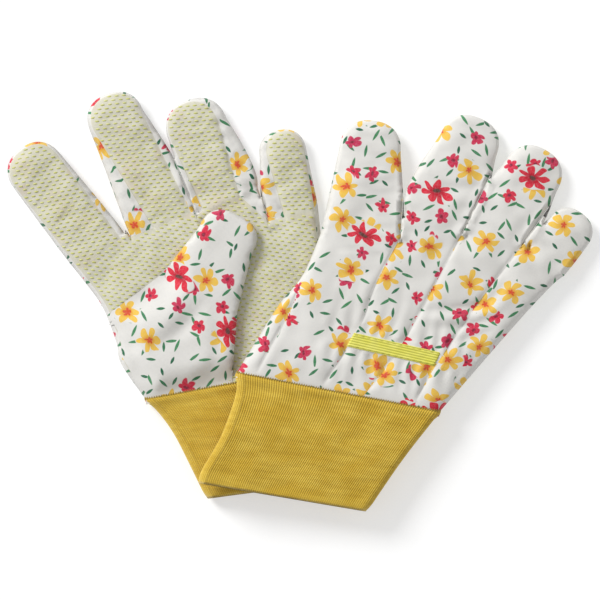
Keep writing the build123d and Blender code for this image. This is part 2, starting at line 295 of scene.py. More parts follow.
class Glove:
    """Where one glove's edges and seams lie, and how high its cloth lies.

    thumb_side, little_side, cuff_sides and wing are what lies between the ends of those edges.
    A parting runs from the open end of the gap between two fingers, over the crotch, to the
    wrist.  The side seam parts the back from the cloth of the thumb side.  The band has a
    centre and a lean.  fronts say how far in from its stall a finger's
    dotted front begins, on the left and on the right, each at root and tip.  droops, in
    degrees, bellies and bows shape the stalls.  A fold has a height, a half width and a line.
    All lengths are in millimetres."""

    def __init__(self, name, palm_up, thumb_side, little_side, wrist, hem, cuff_sides, wing,
                 partings, side_seam, band, fronts, droops, bellies, bows, folds, wing_folds):
        self.name = name
        self.palm_up = palm_up
        self.up = 1 if palm_up else -1          # the way the palm faces
        self.stalls = {finger: Stall(name, finger, droop, np.array(sides) / 1000, bow / 1000)
                       for finger, droop, sides, bow in zip(FINGERS, droops, bellies, bows)}
        self.thumb = Stall(name, "thumb", square=SQUARE_THUMB)
        self.wrist = placed(wrist)
        self.hem = placed(hem)
        self.cuff_sides = [placed(side) for side in cuff_sides]
        self.band_centre = placed(band[0])
        lean = math.radians(band[1])
        self.band_along = np.array([math.cos(lean), -math.sin(lean)])
        self.fronts = dict(zip(FINGERS, (np.array(fronts) / 1000).tolist()))
        self.folds = folds
        self.wing_folds = wing_folds
        self.up_hand = left_of(unit(self.wrist[1] - self.wrist[0]))
        corners = [corner for stall in self.stalls.values() for corner in stall.corners()]
        self.thumb_side = smooth([corners[0], *placed(thumb_side), self.wrist[0]])
        self.little_side = smooth([self.wrist[1], *placed(little_side), corners[-1]])
        tail = self.wrist - 3 * TUCK * self.up_hand
        self.partings = [placed(line) for line in partings]
        filled = [crotch + SLIT_FILL * (end - crotch) for end, crotch, *_ in self.partings]
        self.web = np.insert(corners, (2, 4, 6), filled, axis=0)
        self.hand = np.array([*self.thumb_side, *tail, *self.little_side, *self.web[:0:-1]])
        self.slits = [np.array([line[0] + 2 * STEP * unit(line[0] - line[1]), line[1]])
                      for line in self.partings]
        self.seams = [smooth([*line[1:], line[-1] - TUCK * self.up_hand])
                      for line in self.partings]
        self.side_seam = smooth(placed(side_seam))
        thumb_left, thumb_right = self.thumb.corners()
        self.wing = np.array([thumb_left, *placed(wing), thumb_right])
        self.rim = self.find_edge([])
        self.edge = self.find_edge(self.slit_sides())       # with the slits' sides
        axes = [np.array(self.stalls[f].joint["axis"]) for f in (FINGERS[0], FINGERS[-1])]
        normal = unit(np.cross(*axes))
        self.normal = normal * np.sign(normal[2])
        self.level = self.stalls["index"].joint["pos_m"][2]

    def find_edge(self, slits):
        """Closely spaced points on the glove's outer edge and on the slits' sides."""
        curves = [self.thumb_side, self.little_side, self.web, *slits]
        curves += [stall.outline() for stall in self.stalls.values()]
        points = np.vstack([resample(curve, STEP / 4) for curve in curves])
        return points[np.abs(self.raw_depth(points)) < STEP / 16]

    def slit_sides(self):
        """The two sides of each narrow gap between fingers that touch."""
        sides = []
        for end, crotch in self.slits:
            to_left = left_of(unit(end - crotch)) * SLIT / 2
            sides += [np.array([crotch, end]) + shift for shift in (to_left, -to_left)]
        return sides

    def webs(self):
        """The printed cloth between the fingers' fronts: from foot to crotch to foot."""
        feet = [stall.outline(*self.fronts[finger])[[0, -1]]
                for finger, stall in self.stalls.items()]
        ends = [stall.corners() for stall in self.stalls.values()]
        return [np.array([feet[k][1], crotch, feet[k + 1][0], ends[k + 1][0], ends[k][1]])
                for k, (_, crotch) in enumerate(self.slits)]

    def raw_depth(self, points):
        depths = [stall.depth(points) for stall in self.stalls.values()]
        return np.minimum(np.max([depth_in(points, self.hand), *depths], axis=0),
                          self.slit_distance(points) - SLIT / 2)

    def depth(self, points):
        """Depth in the whole glove."""
        distance = np.linalg.norm(points - nearest(points, self.edge), axis=1)
        return np.where(self.raw_depth(points) > 0, distance, -distance)

    def slit_distance(self, points):
        return np.min([distance_to(points, slit) for slit in self.slits], axis=0)

    def above_wrist(self, points):
        return (points - self.wrist[0]) @ self.up_hand

    def finger_number(self, points):
        """Which finger's strip a point is in, by how many of the partings lie to its left."""
        across = -left_of(self.up_hand)
        number = np.zeros(len(points), int)
        for line in self.partings:
            far = line[0] + 100 * (line[0] - line[1])
            line = np.vstack([line[-1] - self.up_hand, line[:0:-1], line[0], far])
            at = np.interp(points @ self.up_hand, line @ self.up_hand, line @ across)
            number += points @ across > at
        return number

    def plane(self, points):
        """Height of the upper side of the hand, before the fingers droop."""
        run = points - self.stalls["index"].root
        return self.level - run @ self.normal[:2] / self.normal[2]

    def middle(self, points):
        """Height half way between palm and back."""
        height = self.plane(points) - HAND_DEPTH / 2
        number = self.finger_number(points)
        for k, stall in enumerate(self.stalls.values()):
            ahead = np.clip(stall.beyond(points), 0, None) * (number == k)
            height -= stall.slope * ahead ** 2 / (ahead + BEND / 2)
        return height

    def gather(self, points):
        """Puckers of the back cloth above and below the elastic."""
        length, width, _ = BAND_SIZE
        height, pitch, reach = PUCKERS
        run = points - self.band_centre
        along = run @ self.band_along
        off = np.abs(run @ left_of(self.band_along)) - width / 2
        fade = np.exp(-np.clip(off, 0, None) / reach) * smoothstep(2 - 2 * np.abs(along) / length)
        swing = height * np.sin(along / pitch + ripples(points, (2, 0.02), 5))
        return fade * np.where(off > 0, swing, 0)

    def under_band(self, points):
        """1 under the elastic and 0 away from it."""
        axes = np.column_stack([self.band_along, left_of(self.band_along)])
        run = np.abs((points - self.band_centre) @ axes)
        off = np.max(run - np.array(BAND_SIZE[:2]) / 2, axis=1)
        return smoothstep(1 - off / BAND_CALM)

    def crinkles(self, points, seed):
        """Small creases that run across each finger."""
        relief = np.zeros(len(points))
        number = self.finger_number(points)
        for k, stall in enumerate(self.stalls.values()):
            mine = (number == k) & (stall.beyond(points) > -BEND)
            run = (points[mine] - stall.root) @ np.column_stack([stall.right / 3, stall.ahead])
            relief[mine] = ripples(run, CRINKLES, seed + k + 0.5)
        return relief

    def fold_relief(self, points, folds):
        """A few long soft folds, each with its height, its half width and its line."""
        relief = np.zeros(len(points))
        for height, width, *line in folds:
            line = smooth(placed(line))         # the fold all but fades out at its ends
            run = (line[-1] - line[0]) / np.sum((line[-1] - line[0]) ** 2)
            at = np.clip((points - line[0]) @ run, 0, 1)
            swell = np.sin(math.pi * (0.08 + 0.84 * at))
            relief += height / 1000 * near_line(points, line, width / 1000) * swell
        return relief

    def heights(self, points):
        """Heights of the upper and the lower cloth."""
        depth = np.clip(self.depth(points), 0, None)
        to_slit = self.slit_distance(points) - SLIT / 2
        share = np.minimum(puff(np.linalg.norm(points - nearest(points, self.rim), axis=1)),
                           puff(np.clip(to_slit, 0, None), SLIT_REACH))
        share = np.where(depth < STEP / 8, 0, share)
        middle = self.middle(points) + SLIT_RISE * np.exp(-(to_slit / SLIT_REACH * 1.6) ** 2)
        borders = [stall.outline(*self.fronts[finger]) for finger, stall in self.stalls.items()]
        palm_dip = sum(near_line(points, border, SEAM_REACH) for border in borders)
        seams = [*self.seams, self.side_seam]
        back_dip = sum(near_line(points, seam, SEAM_REACH) for seam in seams)
        calm = smoothstep(self.above_wrist(points) / WRIST_CALM) * np.clip(3 * depth / PUFF, 0, 1)
        layers = []
        for is_upper in (True, False):
            is_palm = is_upper == self.palm_up
            seed = 3 * is_upper + 7 * self.palm_up
            relief = sum(ripples(points, bump, seed) for bump in HAND_BUMPS)
            relief += self.crinkles(points, seed)
            if is_upper:
                relief += self.fold_relief(points, self.folds)
            if is_palm:
                relief -= SEAM_DIP * palm_dip
            else:
                relief += self.gather(points) - SEAM_DIP * back_dip
                relief *= 1 - self.under_band(points)
            half = HAND_DEPTH / 2 * share + relief * calm
            layers.append(middle + half if is_upper else middle - half)
        return layers


def triangulate(curves, keep):
    """Even triangles that follow the curves, where keep(points) is positive."""
    points, edges = [], []
    for curve in curves:
        curve = resample(curve)
        edges += [(len(points) + i, len(points) + i + 1) for i in range(len(curve) - 1)]
        points += [Vector(p) for p in curve]
    taken = KDTree(len(points))
    for i, p in enumerate(points):
        taken.insert((p.x, p.y, 0), i)
    taken.balance()
    low, high = np.array(points).min(0), np.array(points).max(0)
    rows = np.arange(low[1], high[1], STEP * math.sqrt(3) / 2)
    grid = np.array([(x + k % 2 * STEP / 2, y) for k, y in enumerate(rows)
                     for x in np.arange(low[0], high[0], STEP)])
    grid = grid[keep(grid) > STEP / 3]
    points += [Vector(p) for p in grid if taken.find((p[0], p[1], 0))[2] > 0.6 * STEP]
    flat, _, faces, *_ = geometry.delaunay_2d_cdt(points, edges, [], 0, 1e-6)
    flat, faces = np.array(flat), np.array(faces)
    faces = faces[keep(flat[faces].mean(1)) > 0]
    used, faces = np.unique(faces, return_inverse=True)
    return flat[used], faces.reshape(-1, 3)


class Bag:
    """Two layers of cloth over one flat net, joined at those of its edge's points that are
    to be joined."""

    def __init__(self, flat, faces, upper, lower, joined):
        shared = edge_points(faces) & joined
        count = len(flat)
        below = np.arange(count)
        below[~shared] = count + np.arange((~shared).sum())
        upper = np.where(shared, (upper + lower) / 2, upper)
        self.flat = np.vstack([flat, flat[~shared]])
        self.co = np.column_stack([self.flat, np.concatenate([upper, lower[~shared]])])
        self.faces = np.vstack([faces, below[faces][:, ::-1]])
        self.is_upper = np.arange(2 * len(faces)) < len(faces)
        self.centres = np.vstack([flat[faces].mean(1)] * 2)

    def normals(self):
        a, b, c = (self.co[self.faces[:, k]] for k in range(3))
        face_normals = np.cross(b - a, c - a)
        total = np.zeros_like(self.co)
        for k in range(3):
            np.add.at(total, self.faces[:, k], face_normals)
        return total / np.maximum(np.linalg.norm(total, axis=1), 1e-12)[:, None]


def edge_counts(faces):
    sides = np.vstack([faces[:, [0, 1]], faces[:, [1, 2]], faces[:, [2, 0]]])
    keys, where, counts = np.unique(np.sort(sides, 1), axis=0, return_inverse=True,
                                    return_counts=True)
    return sides, counts[where.ravel()]


def edge_points(faces):
    """Which points of a net lie on its edge."""
    sides, counts = edge_counts(faces)
    flags = np.zeros(faces.max() + 1, bool)
    flags[sides[counts == 1].ravel()] = True
    return flags


def new_object(name, data):
    made = bpy.data.objects.new(name, data)
    bpy.context.scene.collection.objects.link(made)
    return made


def make_object(name, co, faces, material, uv=None, normals=None):
    """A smooth mesh object, with one UV and one normal for each point.  Where it would reach
    below the floor it lies flat on it."""
    mesh = bpy.data.meshes.new(name)
    mesh.from_pydata(np.maximum(co, (-math.inf, -math.inf, LOWEST)).tolist(), [], list(faces))
    mesh.polygons.foreach_set("use_smooth", np.ones(len(mesh.polygons), bool))
    if uv is not None:
        corners = np.zeros(len(mesh.loops), np.int32)
        mesh.loops.foreach_get("vertex_index", corners)
        layer = mesh.uv_layers.new(name="cloth")
        layer.data.foreach_set("uv", np.asarray(uv, np.float32)[corners].ravel())
    if normals is not None:
        mesh.normals_split_custom_set_from_vertices(np.asarray(normals).tolist())
    mesh.materials.append(material)
    return new_object(name, mesh)


def turned(points, degrees, offset=(0, 0)):
    a = math.radians(degrees)
    turn = np.array([[math.cos(a), -math.sin(a)], [math.sin(a), math.cos(a)]])
    return points @ turn.T + np.array(offset)


# --- materials ---
class Nodes:
    """A material being built.  add() makes a node, and the rest are short for common ones."""

    def __init__(self, name):
        self.material = bpy.data.materials.new(name)
        self.material.use_nodes = True
        self.tree = self.material.node_tree
        self.shader = self.tree.nodes["Principled BSDF"]

    def add(self, kind, inputs=(), **settings):
        node = self.tree.nodes.new("ShaderNode" + kind)
        for key, value in settings.items():
            setattr(node, key, value)
        for key, value in dict(inputs).items():
            self.put(node.inputs[key], value)
        return node

    def put(self, socket, value):
        if isinstance(value, bpy.types.NodeSocket):
            self.tree.links.new(value, socket)
        else:
            socket.default_value = value

    def math(self, operation, *values):
        return self.add("Math", dict(enumerate(values)), operation=operation).outputs[0]

    def times(self, a, b):
        return self.math("MULTIPLY", a, b)

    def vector(self, operation, a, b):
        return self.add("VectorMath", {0: a, 1: b}, operation=operation).outputs[0]

    def split(self, vector):
        """The x and the y of a vector."""
        return self.add("SeparateXYZ", {0: vector}).outputs[:2]

    def mix(self, share, a, b):
        return self.add("Mix", {0: share, 6: a, 7: b}, data_type="RGBA").outputs[2]

    def ramp(self, value, low, high, start=0.0, end=1.0):
        """start where value is low, end where it is high, and between them a smooth step."""
        return self.add("MapRange", {0: value, 1: low, 2: high, 3: start, 4: end},
                        interpolation_type="SMOOTHSTEP").outputs[0]

    def uv(self):
        return self.add("TexCoord").outputs["UV"]

    def noise(self, where, scale, detail=2.0):
        return self.add("TexNoise", {"Vector": where, "Scale": scale, "Detail": detail},
                        noise_dimensions="2D").outputs["Fac"]

    def solid_noise(self, scale):
        """Noise in the piece's own space, for a piece with no UVs."""
        where = self.add("TexCoord").outputs["Object"]
        return self.add("TexNoise", {"Vector": where, "Scale": scale}).outputs["Fac"]

    def finish(self, colour, roughness, height, depth, sheen=0.0):
        """Colour, roughness and bump on the shader; height is a share of depth, in metres."""
        bump = self.add("Bump", {"Height": height, "Distance": depth}).outputs[0]
        values = {"Base Color": colour, "Roughness": roughness, "Normal": bump,
                  "Sheen Weight": sheen, "Specular IOR Level": 0.25}
        for key, value in values.items():
            self.put(self.shader.inputs[key], value)
        return self.material


def rgb(red, green, blue):
    """A colour given as screen values, for a shader."""
    def linear(c):
        c /= 255
        return c / 12.92 if c <= 0.04045 else ((c + 0.055) / 1.055) ** 2.4
    return (linear(red), linear(green), linear(blue), 1.0)


WHITE_COTTON = rgb(217, 215, 210)
PALM_COTTON = rgb(206, 203, 187)
WEAVE_PITCH = 0.0009

# The printed pattern.  Its parts are scattered one to a cell, with a spread from even, 0, to
# uneven, 1, and shown is the share of them that is printed.
LEAF = {"cell": 0.0080, "spread": 0.75, "shown": 0.78}
LEAF_LENGTHS = (0.0022, 0.0038)          # half of a leaf's length, from shortest to longest
LEAF_WIDTH = 0.00082                     # and half of its width
LEAF_POINT = 1.6                         # 2 is an ellipse, and less has sharper ends
PETALS_SHAKE = (150.0, 0.0034)           # scale and strength of their unevenness
CRIMSON = {"cell": 0.0150, "spread": 0.75, "shown": 0.42, "petals": 5, "radius": 0.0040,
           "notch": 0.50}
# a large flower stands in a clear ring with its own radius
YELLOW = {"cell": 0.0215, "spread": 0.62, "shown": 0.55, "petals": 6, "radius": 0.0076,
          "notch": 0.38, "turning": 0.9, "squash": 1.15}
YELLOW_HEART = {"petals": 5, "radius": 0.0022, "notch": 0.35}
YELLOW_RING = 0.0084
SCARLET = {"cell": 0.0400, "spread": 0.70, "shown": 0.30, "petals": 7, "radius": 0.0098,
           "notch": 0.36, "turning": 0.5, "squash": 1.45}
SCARLET_RING = 0.0104
RING_BLUR = 0.0008


def scattered(n, where, cell, spread, shown, turning=math.tau):
    """The nearest of many scattered points: this place's x and y in the point's own turned
    axes, whether the point is one of the shown ones, and a random number that belongs to it."""
    cells = n.add("TexVoronoi", {"Vector": where, "Scale": 1 / cell, "Randomness": spread},
                  voronoi_dimensions="2D", feature="F1")
    away = n.vector("SUBTRACT", where, cells.outputs["Position"])
    luck = n.add("SeparateColor", {0: cells.outputs["Color"]}).outputs
    turn = n.add("VectorRotate", {"Vector": away, "Angle": n.times(luck[0], turning)},
                 rotation_type="Z_AXIS").outputs[0]
    return *n.split(turn), n.math("LESS_THAN", luck[1], shown), luck[2]


def flower(n, x, y, petals, radius, notch, blur=0.0003):
    """Mask of a flower: its edge is radius away at each petal's tip, and that times notch
    between them.  Also the distance from its middle."""
    angle = n.math("ARCTAN2", y, x)
    distance = n.math("SQRT", n.math("ADD", n.times(x, x), n.times(y, y)))
    wave = n.math("ABSOLUTE", n.math("COSINE", n.times(angle, petals / 2)))
    edge = n.math("MULTIPLY_ADD", n.math("POWER", wave, 0.8), radius * (1 - notch),
                  radius * notch)
    return n.ramp(n.math("SUBTRACT", edge, distance), -blur, blur), distance


def flowers(n, where, cell, spread, shown, petals, radius, notch, turning=math.tau, squash=1.0):
    """Mask of scattered flowers that are squash times wider than high, with each place's x, y
    and distance in its flower, whether that flower is shown, and its random number."""
    x, y, shown, luck = scattered(n, where, cell, spread, shown, turning)
    y = n.times(y, squash)
    mask, distance = flower(n, x, y, petals, radius, notch)
    return n.times(mask, shown), x, y, distance, shown, luck


def floral_print(n, where):
    """The printed pattern: colour over white.  Leaves come first, then small flowers, and each
    large flower has a clear white ring round it."""
    x, y, shown, luck = scattered(n, where, **LEAF)
    length = n.ramp(luck, 0.0, 1.0, *LEAF_LENGTHS)
    body = n.math("ADD", *(n.math("POWER", n.math("DIVIDE", n.math("ABSOLUTE", run), size),
                                  LEAF_POINT) for run, size in ((x, length), (y, LEAF_WIDTH))))
    green = n.mix(luck, rgb(26, 92, 62), rgb(66, 134, 86))
    colour = n.mix(n.times(n.ramp(body, 1.25, 0.75), shown), WHITE_COTTON, green)

    scale, strength = PETALS_SHAKE
    shake = n.add("TexNoise", {"Vector": where, "Scale": scale, "Detail": 0.0},
                  noise_dimensions="2D").outputs["Color"]
    shake = n.vector("MULTIPLY", n.vector("SUBTRACT", shake, (0.5,) * 3), (strength,) * 3)
    where = n.vector("ADD", where, shake)

    petals, _, _, far, _, luck = flowers(n, where, **CRIMSON)
    crimson = n.mix(luck, rgb(208, 34, 60), rgb(190, 46, 84))
    crimson = n.mix(n.ramp(far, 0.0013, 0.0005), crimson, rgb(132, 26, 52))
    colour = n.mix(petals, colour, crimson)

    petals, x, y, far, shown, _ = flowers(n, where, **YELLOW)
    ring = n.ramp(far, YELLOW_RING, YELLOW_RING - RING_BLUR)
    colour = n.mix(n.times(ring, shown), colour, WHITE_COTTON)
    gold = n.mix(n.ramp(far, 0.0010, 0.0045), rgb(214, 148, 40), rgb(228, 186, 74))
    colour = n.mix(petals, colour, gold)
    heart, _ = flower(n, x, y, **YELLOW_HEART)
    colour = n.mix(n.times(heart, shown), colour, rgb(204, 74, 36))

    petals, _, _, far, shown, _ = flowers(n, where, **SCARLET)
    ring = n.ramp(far, SCARLET_RING, SCARLET_RING - RING_BLUR)
    colour = n.mix(n.times(ring, shown), colour, WHITE_COTTON)
    scarlet = n.mix(n.ramp(far, 0.0015, 0.0065), rgb(178, 20, 42), rgb(212, 38, 58))
    colour = n.mix(petals, colour, scarlet)
    return n.mix(n.times(n.ramp(far, 0.0022, 0.0014), shown), colour, rgb(92, 52, 44))


def finish_cotton(n, where, threads, colour, sheen):
    """A plain weave with rough threads, in that colour."""
    across, along = (n.math("SINE", n.times(part, math.tau / WEAVE_PITCH))
                     for part in n.split(where))
    weave = n.math("MULTIPLY_ADD", n.times(across, along), 0.5, 0.5)
    height = n.math("ADD", weave, n.times(threads, 0.8))
    return n.finish(colour, n.ramp(threads, 0.3, 0.7, 0.78, 0.92), height, 0.00008, sheen)


def printed_cotton():
    n = Nodes("printed_cotton")
    where = n.uv()
    threads = n.noise(where, 900.0)
    shade = n.ramp(threads, 0.35, 0.75, 0.0, 0.10)
    colour = n.mix(shade, floral_print(n, where), rgb(196, 200, 208))
    return finish_cotton(n, where, threads, colour, sheen=0.15)


def dotted_cotton():
    """The palm's cloth, with a very faint trace of the print in it."""
    n = Nodes("dotted_cotton")
    where = n.uv()
    blotches = n.noise(where, 60.0, 3.0)
    ghost = n.mix(0.93, floral_print(n, where), PALM_COTTON)
    colour = n.mix(n.ramp(blotches, 0.3, 0.7, 0.0, 0.35), ghost, rgb(196, 194, 168))
    return finish_cotton(n, where, n.noise(where, 900.0), colour, sheen=0.1)


def rubber_dots():
    n = Nodes("rubber_dots")
    patches = n.ramp(n.solid_noise(140.0), 0.35, 0.65)
    colour = n.mix(patches, rgb(192, 192, 108), rgb(204, 204, 132))
    fine = n.solid_noise(2500.0)
    return n.finish(colour, n.ramp(fine, 0.3, 0.7, 0.42, 0.6), fine, 0.00006)


def rib_knit():
    n = Nodes("rib_knit")
    where = n.uv()
    round_cuff, down = n.split(where)
    rib = n.math("COSINE", n.times(round_cuff, math.tau / RIB_PITCH))
    patches = n.noise(where, 70.0, 3.0)
    wool = n.noise(where, 1400.0)
    yellow = n.mix(n.ramp(patches, 0.3, 0.7), rgb(214, 178, 56), rgb(226, 194, 76))
    streaks = n.noise(n.vector("MULTIPLY", where, (0.12, 1.0, 1.0)), 420.0)
    yellow = n.mix(n.ramp(streaks, 0.35, 0.7, 0.0, 0.3), yellow, rgb(184, 146, 34))
    # the colour is darker in the valleys between the ribs: painted shade
    colour = n.mix(n.ramp(rib, -0.1, -1.0, 0.0, 0.6), yellow, rgb(160, 122, 22))
    lean = n.times(n.math("ABSOLUTE", rib), 0.0006)
    course = n.math("SINE", n.times(n.math("ADD", down, lean), math.tau / COURSE_PITCH))
    height = n.math("ADD", n.times(course, 0.35), wool)
    return n.finish(colour, n.ramp(wool, 0.3, 0.7, 0.75, 0.95), height, 0.00016, sheen=0.3)


def elastic_webbing():
    n = Nodes("elastic_webbing")
    where = n.uv()
    along, across = n.split(where)
    rib = n.math("COSINE", n.times(across, math.tau * BAND_RIBS / BAND_SIZE[1]))
    ticks = n.math("SINE", n.times(along, math.tau / 0.0010))
    patches = n.noise(where, 120.0)
    lime = n.mix(n.ramp(patches, 0.3, 0.7), rgb(222, 218, 92), rgb(232, 228, 118))
    # the colour is darker in the valleys between the ribs: painted shade
    colour = n.mix(n.ramp(rib, -0.1, -0.95, 0.0, 0.75), lime, rgb(158, 156, 40))
    height = n.math("ADD", n.times(ticks, 0.3), patches)
    return n.finish(colour, n.ramp(ticks, -1.0, 1.0, 0.6, 0.75), height, 0.0001, sheen=0.1)


def sewing_thread(name, dark, light):
    n = Nodes(name)
    twist = n.solid_noise(1800.0)
    return n.finish(n.mix(twist, dark, light), n.ramp(twist, 0.3, 0.7, 0.55, 0.8), twist, 0.00008)


CLOTHS = {"printed_cotton": printed_cotton(), "dotted_cotton": dotted_cotton()}
RUBBER = rubber_dots()
KNITTED = rib_knit()
ELASTIC = elastic_webbing()
OVERLOCK_THREAD = sewing_thread("overlock_thread", rgb(126, 104, 38), rgb(190, 164, 82))
LIME_THREAD = sewing_thread("lime_thread", rgb(170, 166, 52), rgb(226, 224, 130))


# --- pieces ---
def attach(piece, glove, finger, slot, *nodes):
    """The piece rides on the hand, or, on a finger's stall or the thumb, stays where it lies."""
    hand = f"{glove.name}_hand"
    if finger:
        stall = glove.thumb if finger == "thumb" else glove.stalls[finger]
        height = stall.joint["pos_m"][2]
        start, end = (Vector((*stall.point(forward), height)) for forward in (0, BEND))
        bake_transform(piece)
    else:
        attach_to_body(piece, hand)
    if nodes:
        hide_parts(*(f"{glove.name}_{node}" for node in nodes))


def cut_out(glove, bag, labels, label, uv, cloth, finger, *nodes):
    """A bag's triangles with that label, as a sheet of cloth with its real thickness."""
    used, faces = np.unique(bag.faces[labels == label], return_inverse=True)
    faces = faces.reshape(-1, 3)
    count = len(used)
    outer, normals = bag.co[used], bag.normals()[used]
    sides, counts = edge_counts(faces)
    rims = [[b, a, a + count, b + count] for a, b in sides[counts == 1]]
    solid = faces.tolist() + (faces[:, ::-1] + count).tolist() + rims
    sheet = make_object(f"{glove.name}_cloth_{label}",
                        np.vstack([outer, outer - CLOTH * normals]), solid, CLOTHS[cloth],
                        np.vstack([uv[used]] * 2), np.vstack([normals, -normals]))
    attach(sheet, glove, finger, cloth, *nodes)


def label_hand(glove, bag):
    """Which piece each triangle of the hand belongs to."""
    points = bag.centres
    number = glove.finger_number(points)
    names = np.array(FINGERS, object)[number]
    beyond = np.choose(number, [stall.beyond(points) > 0 for stall in glove.stalls.values()])
    labels = np.array([f"{name}_strip" for name in names], object)
    side = np.vstack([glove.side_seam, glove.thumb_side[::-1]])
    labels[(depth_in(points, side) > -STEP / 4) & ~beyond] = "side"
    on_palm = bag.is_upper == glove.palm_up
    side_gap = np.minimum(distance_to(points, glove.thumb_side),
                          distance_to(points, glove.little_side))
    in_web = np.max([depth_in(points, web) for web in glove.webs()], axis=0) > 0
    labels[on_palm & ~beyond & ~in_web & (side_gap > PRINT_MARGIN)] = "palm"
    for finger, stall in glove.stalls.items():
        within = stall.depth(points, *glove.fronts[finger]) > 0
        labels[on_palm & beyond & (names == finger) & within] = f"{finger}_front"
    return labels


def hand_curves(glove):
    """The lines that the triangles of the hand have to follow."""
    curves = [glove.thumb_side, glove.little_side, glove.web, *glove.slit_sides(),
              moved_left(glove.thumb_side, PRINT_MARGIN),
              moved_left(glove.little_side, PRINT_MARGIN)]
    for seam in [*glove.seams, glove.side_seam]:
        curves += [seam, moved_left(seam, SEAM_REACH), moved_left(seam, -SEAM_REACH)]
    for finger, stall in glove.stalls.items():
        front = stall.outline(*glove.fronts[finger])
        curves += [stall.outline(), np.array(stall.corners()), front,
                   moved_left(front, -SEAM_REACH)]
    return [*curves, *(web[:3] for web in glove.webs()), glove.wrist - TUCK * glove.up_hand]


def build_hand(glove):
    """Palm, finger fronts and the strips of the back, as one bag that is then cut apart."""
    def keep(points):
        return np.minimum(glove.raw_depth(points), glove.above_wrist(points) + TUCK)

    flat, faces = triangulate(hand_curves(glove), keep)
    upper, lower = glove.heights(flat)
    bag = Bag(flat, faces, upper, lower, joined=glove.above_wrist(flat) > STEP / 2 - TUCK)
    labels = label_hand(glove, bag)
    # printed cloth that goes round the edge on to the palm side keeps its pattern unbroken
    on_palm = np.zeros(len(bag.co), bool)
    on_palm[bag.faces[bag.is_upper == glove.palm_up].ravel()] = True
    mirrored = np.where(on_palm[:, None], 2 * nearest(bag.flat, glove.edge) - bag.flat, bag.flat)
    # the cloth of each piece is cut from another part of the print
    cut_out(glove, bag, labels, "palm", turned(bag.flat, 8 * glove.up),
            "dotted_cotton", None, "palm_panel")
    cut_out(glove, bag, labels, "side", turned(mirrored, 70, (0.31, 0.12)),
            "printed_cotton", None)
    for k, finger in enumerate(FINGERS):
        offset = (0.13 * k + 0.02 * glove.up, 0.057 * k)
        cut_out(glove, bag, labels, f"{finger}_strip", turned(mirrored, 15 - 12 * k, offset),
                "printed_cotton", finger, f"{finger}_back_strip", f"{finger}_back")
        cut_out(glove, bag, labels, f"{finger}_front", turned(bag.flat, 10 - 9 * k, offset),
                "dotted_cotton", finger, f"{finger}_front")
        add_dots(glove, bag, labels == f"{finger}_front", finger)
    add_dots(glove, bag, labels == "palm", None)


def ring_faces(first, second, count):
    """Faces between two rings of points, each given by its first point."""
    return [[first + j, first + (j + 1) % count, second + (j + 1) % count, second + j]
            for j in range(count)]


def grid_faces(rows, columns, closed=True):
    """Faces between rows of points.  A closed row's end joins its start."""
    faces = []
    for i in range(rows - 1):
        faces += ring_faces(i * columns, (i + 1) * columns, columns)[:None if closed else -1]
    return faces


def domes(name, spots, size, material, sides=8):
    """Small rounded bars.  Each spot is a place, its normal and its long direction."""
    length, width, height = size
    ring = [(math.cos(a), math.sin(a)) for a in np.arange(sides) * math.tau / sides]
    shape = [(x * length / 2, y * width / 2, -height / 3) for x, y in ring]
    shape += [(0.75 * x * length / 2, 0.72 * y * width / 2, height * 0.7) for x, y in ring]
    shape = np.array([*shape, (0, 0, height)])
    caps = [[*face[:2], 2 * sides] for face in ring_faces(sides, 0, sides)]
    co, faces = [], []
    for place, normal, along in spots:
        normal = unit(np.array(normal))
        along = unit(along - normal * (along @ normal))
        axes = np.array([along, np.cross(normal, along), normal])
        first = len(co) * len(shape)
        faces += [[first + i for i in face] for face in ring_faces(0, sides, sides) + caps]
        co.append(np.array(place) + shape @ axes)
    return make_object(name, np.vstack(co), faces, material)


def add_dots(glove, bag, chosen, finger):
    """Raised rubber dashes in staggered rows over part of the palm side."""
    faces = bag.faces[chosen]
    tree = BVHTree.FromPolygons(bag.co.tolist(), faces.tolist())
    turn = PALM_DOTS_TURN
    if finger:
        turn = math.degrees(FINGER_DOTS_TURN * math.atan2(*glove.stalls[finger].ahead))
    low, high = bag.flat[faces].min((0, 1)), bag.flat[faces].max((0, 1))
    middle, reach = (low + high) / 2, np.linalg.norm(high - low) / 2
    rows, columns = int(reach / DOT_ROW), int(reach / DOT_PITCH)
    grid = np.array([((i + k % 2 / 2) * DOT_PITCH, k * DOT_ROW)
                     for k in range(-rows, rows) for i in range(-columns, columns)])
    along = np.append(turned(np.array([1.0, 0.0]), turn), 0)
    room_x, room_y = DOT_ROOM
    beside = [Vector((x, y, 0)) for x, y in
              ((0, 0), (room_x, 0), (-room_x, 0), (0, room_y), (0, -room_y))]
    inward = Vector((0, 0, -glove.up))
    spots = []
    for x, y in turned(grid, turn) + middle:
        start = Vector((x, y, ABOVE_ALL * glove.up))
        hits = [tree.ray_cast(start + offset, inward) for offset in beside]
        if all(hit[0] is not None for hit in hits):
            place, normal, *_ = hits[0]
            spots.append((place, normal * (1 if normal.z * glove.up > 0 else -1), along))
    name = f"{glove.name}_dots_{finger or 'palm'}"
    attach(domes(name, spots, DOT_SIZE, RUBBER), glove, finger, "dotted_cotton")


